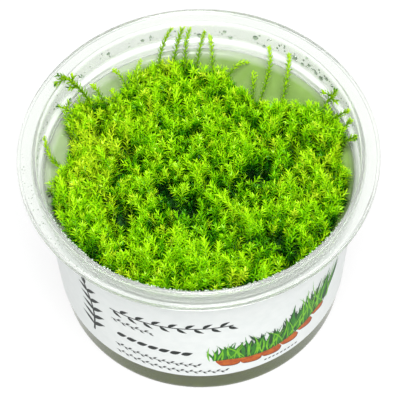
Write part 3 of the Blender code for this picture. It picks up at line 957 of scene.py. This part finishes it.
def mossFeet(fine, side, dice, m=mossMat):
    # feet on a shaken grid over the mat, fewer in the hollows; side is -1 or 1 for a half of the mat, or 0
    cell = math.sqrt(math.pi * m["gridRadius"] ** 2 / (m["shoots"] * m["gridSpare"]))
    line = np.arange(-m["gridHalf"], m["gridHalf"], cell)
    grid = np.stack(np.meshgrid(line, line), -1).reshape(-1, 2)
    feet = grid + dice.uniform(-m["shaken"], m["shaken"], grid.shape) * cell
    x, y = feet.T
    hollow = np.clip(bumps(x, y, [(px, py, 1.15 * size, 1.0) for px, py, size, _ in m["hollows"]]), 0, 1)
    kept = np.hypot(x, y) < matEdge(bearing(x, y)) - m["inset"]
    kept &= dice.uniform(0, 1, len(feet)) > hollow * m["bare"][0 if fine else 1]
    if side:
        kept &= (x < 0) == (side < 0)
    return feet[kept].T


def growLayer(name, leaves, lengths, leaf, under, tone, fine, dice, m=mossMat):
    x, y = mossFeet(fine, name.endswith("Right") - name.endswith("Left"), dice)
    n = len(x)
    length = dice.uniform(*lengths, n)
    lean = np.radians(np.clip(dice.normal(*m["lean"], n), *m["leanLimits"]))
    drift = m["drift"] * smoothNoise(x, y, m["driftSize"], 31)
    heading = np.radians(m["heading"] + drift + dice.normal(0, m["scatter"], n))
    way = np.stack([np.sin(lean) * np.cos(heading), np.sin(lean) * np.sin(heading), np.cos(lean)], 1)
    tipZ = canopyHeight(x, y) - under + dice.normal(0.4, 0.6, n)
    tip = np.stack([x, y, tipZ], 1) + way * np.array([1, 1, 0]) * length[:, None] * 0.5
    # tips stay inside the wall and off the bare gel
    edge = matEdge(bearing(tip[:, 0], tip[:, 1]))
    atWall = np.minimum(edge + m["overhang"], wallInside(52) - m["tipClear"])
    pullIn(tip, np.where(edge < edge.max() - m["inset"], edge - m["inset"], atWall))
    base = tip - way * length[:, None]
    base[:, 2] = np.maximum(base[:, 2], m["lowestFoot"])
    pullIn(base, matEdge(bearing(base[:, 0], base[:, 1])) - m["inset"])
    size = dice.uniform(0.85, 1.15, n)
    tipX, tipY = tip[:, 0], tip[:, 1]
    bright = np.clip(bumps(tipX, tipY, [(px, py, wide, 1.0) for px, py, wide, _ in m["tufts"]]), 0, 1)
    # painted shade: shoots by the hollows are painted darker
    dim = [(px, py, 2.0 * size, 0.8) for px, py, size, _ in m["hollows"]]
    shady = np.clip(bumps(tipX, tipY, dim), 0, 1) * (1 - bright)
    yellow = dice.uniform(0, 1, n) < m["yellowShare"] + bumps(tipX, tipY, m["yellow"])
    patches = m["patches"] * smoothNoise(tipX, tipY, m["patchSize"], 21)
    toneHere = tone + m["brighter"] * bright - m["hollowShade"] * shady + patches
    shoots = {
        "base": base, "tip": tip,
        "sag": dice.normal(0, 0.35, (n, 3)) * np.array([1, 1, 0.3]) + np.array([0, 0, 0.15]),
        "tone": toneHere + dice.normal(0, m["toneSpread"], n),
        "row": dice.integers(0, 2, n) + 2.0 * yellow,
        "leafLength": leaf[0] * size, "leafWidth": leaf[1] * size,
    }
    points, faces, uv = leafyShoots(shoots, leaves, dice, fine, shadeBelow=tangleShade)
    addPiece(name, points, faces, mossLeaf, uv=uv)


points, faces = mossBedMesh()
addPiece("mossBed", points, faces, mossBedMaterial(), "moss_mat", smooth=180)
mossDice = np.random.default_rng(mossMat["seed"])
for name, layer in mossMat["layers"].items():
    growLayer(name, *layer, mossDice)
print("moss mat grown")

# long feathered shoots that lie on the tangle

mossSpires = {
    "seed": 19, "leaves": 56, "leafLength": 2.1, "leafWidth": 0.52, "stem": 0.14, "spread": (68, 32),
    "baseHeight": 54.0, "lift": 0.9, "bow": 0.8, "brighter": 0.08,
    # base x, y and tip x, y, z in mm, tone and size
    "routes": [
        (-33.8, -21.7, -34.7, -12.2, 57.0, 0.85, 1.0), (14.2, 1.2, 12.5, 6.0, 57.5, 0.85, 0.9),
        (15.5, -22.7, 5.0, -13.0, 57.4, 0.95, 1.15), (34.5, -8.6, 28.5, -0.1, 57.2, 0.88, 1.0),
        (25.2, -13.2, 24.4, -5.9, 57.2, 0.88, 0.95), (28.0, -19.9, 30.2, -16.4, 57.4, 0.85, 0.9),
        (-13.4, -11.0, -14.5, -5.0, 57.2, 0.8, 0.9), (-5.2, -31.0, -7.5, -24.5, 57.6, 0.9, 1.0),
        (0.6, -37.0, -3.5, -28.0, 57.8, 0.92, 1.0), (2.0, -37.0, 0.6, -27.5, 58.0, 0.95, 1.1),
        (4.0, -37.0, 4.6, -29.0, 57.8, 0.9, 1.0), (12.0, -38.0, 6.0, -33.0, 57.4, 0.92, 1.0),
        (12.5, -38.0, 10.5, -32.5, 57.6, 0.95, 1.0), (-16.0, -34.0, -14.5, -28.5, 57.2, 0.85, 1.0),
        (-36.5, -14.0, -38.0, -6.0, 56.8, 0.85, 1.0), (-24.0, -2.0, -27.5, 4.0, 56.6, 0.8, 1.0),
        (13.5, -25.0, 12.5, -18.0, 57.2, 0.92, 1.0), (36.0, -14.0, 33.5, -6.0, 57.0, 0.85, 1.0),
    ],
}


def growSpires(s=mossSpires):
    dice = np.random.default_rng(s["seed"])
    rows = np.array(s["routes"])
    n = len(rows)
    shoots = {
        "base": np.column_stack([rows[:, 0], rows[:, 1], np.full(n, s["baseHeight"])]),
        "tip": rows[:, 2:5] + np.array([0.0, 0.0, s["lift"]]),
        "sag": np.tile([0.0, 0.0, s["bow"]], (n, 1)), "tone": rows[:, 5] + s["brighter"], "row": np.zeros(n),
        "leafLength": s["leafLength"] * rows[:, 6], "leafWidth": s["leafWidth"] * rows[:, 6],
    }
    points, faces, uv = leafyShoots(shoots, s["leaves"], dice, spread=s["spread"], stem=s["stem"])
    addPiece("mossSpires", points, faces, mossLeaf, uv=uv)


growSpires()
print("spires grown")

# stray shoots, on the part's own routes

strayShoots = {
    "seed": 31, "leavesPerMm": 4.4, "baseHeight": 53.0, "tone": 0.6, "leafLength": 1.25, "leafWidth": 0.7,
    "stem": 0.34, "spread": (44, 30), "twigBow": 0.15,
    # radius, then base, middle and tip in degrees from +X, mm from the axis and mm up
    "routes": {
        "shoot_leafy_left": (0.9, (142.6, 37.0), (143.2, 41.6, 58.9), (146.4, 46.2, 63.6)),
        "shoot_left_bent": (0.5, (152.9, 35.5), (152.6, 40.0, 56.2), (153.5, 43.4, 57.4)),
        "shoot_left_hooked": (0.7, (180.0, 36.0), (175.5, 40.6, 54.8), (168.8, 43.3, 57.6)),
        "shoot_left_thin": (0.4, (166.1, 33.5), (162.0, 36.4, 56.2), (158.0, 39.2, 55.6)),
        "shoot_left_short": (0.6, (138.6, 34.0), (137.6, 37.4, 55.6), (136.2, 40.4, 54.8)),
        "shoot_left_upright": (0.6, (139.4, 27.6), (136.0, 31.4, 56.8), (133.0, 34.6, 55.8)),
        "shoot_back_flat": (0.4, (125.2, 32.0), (125.4, 36.2, 56.3), (125.0, 40.2, 55.0)),
        "shoot_back_long": (0.4, (126.9, 26.0), (120.4, 32.5, 56.6), (113.2, 39.4, 54.6)),
        "shoot_back_arched": (0.5, (108.7, 34.0), (103.4, 40.2, 56.4), (98.6, 43.5, 60.2)),
        "shoot_back_leafy": (0.7, (100.5, 35.6), (97.0, 41.0, 55.8), (94.4, 43.4, 59.7)),
        "shoot_back_straight": (0.6, (95.2, 33.2), (93.8, 39.6, 55.9), (91.8, 43.4, 59.1)),
        "shoot_fork_left": (0.45, (90.3, 32.0), (88.0, 39.4, 55.2), (86.1, 43.2, 57.9)),
        "shoot_fork_right": (0.45, (80.8, 29.0), (82.6, 37.2, 56.2), (84.2, 42.6, 56.7)),
        "shoot_on_gel": (0.4, (74.6, 30.0), (71.0, 35.4, 54.4), (68.0, 39.8, 51.2)),
        "shoot_gel_upright": (0.5, (55.1, 27.0), (58.6, 31.0, 55.2), (62.0, 35.0, 54.2)),
        "shoot_gel_bent": (0.45, (50.5, 27.2), (55.8, 36.8, 56.0), (60.9, 43.0, 57.2)),
        "shoot_gel_leafy": (0.6, (39.1, 30.0), (47.6, 38.2, 56.0), (52.4, 43.3, 57.7)),
        "shoot_right_forked": (0.7, (26.2, 38.4), (27.0, 41.8, 57.0), (26.9, 43.4, 59.9)),
        "shoot_right_thin": (0.4, (20.6, 39.4), (18.8, 42.3, 57.0), (17.0, 43.7, 59.6)),
        "shoot_right_bud": (0.5, (13.8, 40.0), (13.6, 42.6, 57.0), (13.2, 43.5, 59.0)),
        "shoot_right_stub": (0.6, (8.4, 39.2), (6.8, 42.2, 57.2), (4.8, 43.4, 59.5)),
    },
    # shoots whose tips have died back, and how much darker those are
    "dead": (
        "shoot_leafy_left", "shoot_left_bent", "shoot_left_thin", "shoot_right_forked", "shoot_right_stub",
    ),
    "deadTip": 0.5,
    # side twigs: where they leave the shoot, as a share of its length, and where they go from there, in mm
    "twigs": {
        "shoot_leafy_left": [(0.8, (-3.0, -1.6, -0.3)), (0.66, (0.3, 1.4, 0.7)), (0.5, (-2.0, -1.2, 0.9))],
        "shoot_left_bent": [(0.6, (0.6, 2.2, 0.9))],
        "shoot_right_forked": [(0.62, (-2.4, 0.9, 1.0)), (0.5, (1.6, -1.4, 0.6))],
    },
}


def growStray(name, s=strayShoots):
    radius, base, middle, tip = s["routes"][name]
    dice = np.random.default_rng(s["seed"] + sum(map(ord, name)))
    foot, waist, end = polar(*base, s["baseHeight"]), polar(*middle), polar(*tip)
    sag = waist - (foot + end) / 2
    routes = [(foot, end, sag)]
    for t, way in s["twigs"].get(name, []):
        fork = foot * (1 - t) + end * t + 4 * t * (1 - t) * sag
        routes.append((fork, fork + np.array(way), np.array([0.0, 0.0, s["twigBow"]])))
    deadTip = s["deadTip"] * (name in s["dead"])
    made = []
    for start, finish, bend in routes:
        shoots = {
            "base": start[None], "tip": finish[None], "sag": bend[None], "tone": np.array([s["tone"]]),
            "row": np.array([2.0]), "leafLength": np.array([s["leafLength"] * (0.5 + radius)]),
            "leafWidth": np.array([s["leafWidth"] * (0.8 + 0.4 * radius)]),
        }
        leaves = int(np.linalg.norm(finish - start) * s["leavesPerMm"])
        made.append(leafyShoots(shoots, leaves, dice, spread=s["spread"], stem=s["stem"], deadTip=deadTip))
    points, faces = joined([part[:2] for part in made])
    uv = np.concatenate([part[2] for part in made])
    addPiece(name.replace("shoot_", "stray_"), points, faces, mossLeaf, name, uv=uv)


for name in strayShoots["routes"]:
    growStray(name)
print("stray shoots grown:", len(strayShoots["routes"]))

# floor

floorLook = {"width": 3.0, "below": 0.05, "hex": "#5A5A5A", "glow": 0.84}  # m, mm under the cup, colour, glow


def layFloor(look=floorLook):
    half, low = look["width"] / 2, -look["below"] * mm
    # matt white paper sweep, lit so that it burns out to white
    glow = {"Emission Color": "#FFFFFF", "Emission Strength": look["glow"]}
    paper = {"Base Color": look["hex"], "Roughness": 0.9, **glow}
    material, _, _ = newMaterial("whitePaperSweep", paper)
    mesh = bpy.data.meshes.new("floor")
    corners = [(x * half, y * half, low) for x, y in ((-1, -1), (1, -1), (1, 1), (-1, 1))]
    mesh.from_pydata(corners, [], [(0, 1, 2, 3)])
    mesh.materials.append(material)
    floor = bpy.data.objects.new("floor", mesh)
    scene.collection.objects.link(floor)


layFloor()
print("floor laid")
print("triangles:", sum(triangleCount.values()), "most in one piece:", max(triangleCount.values()))
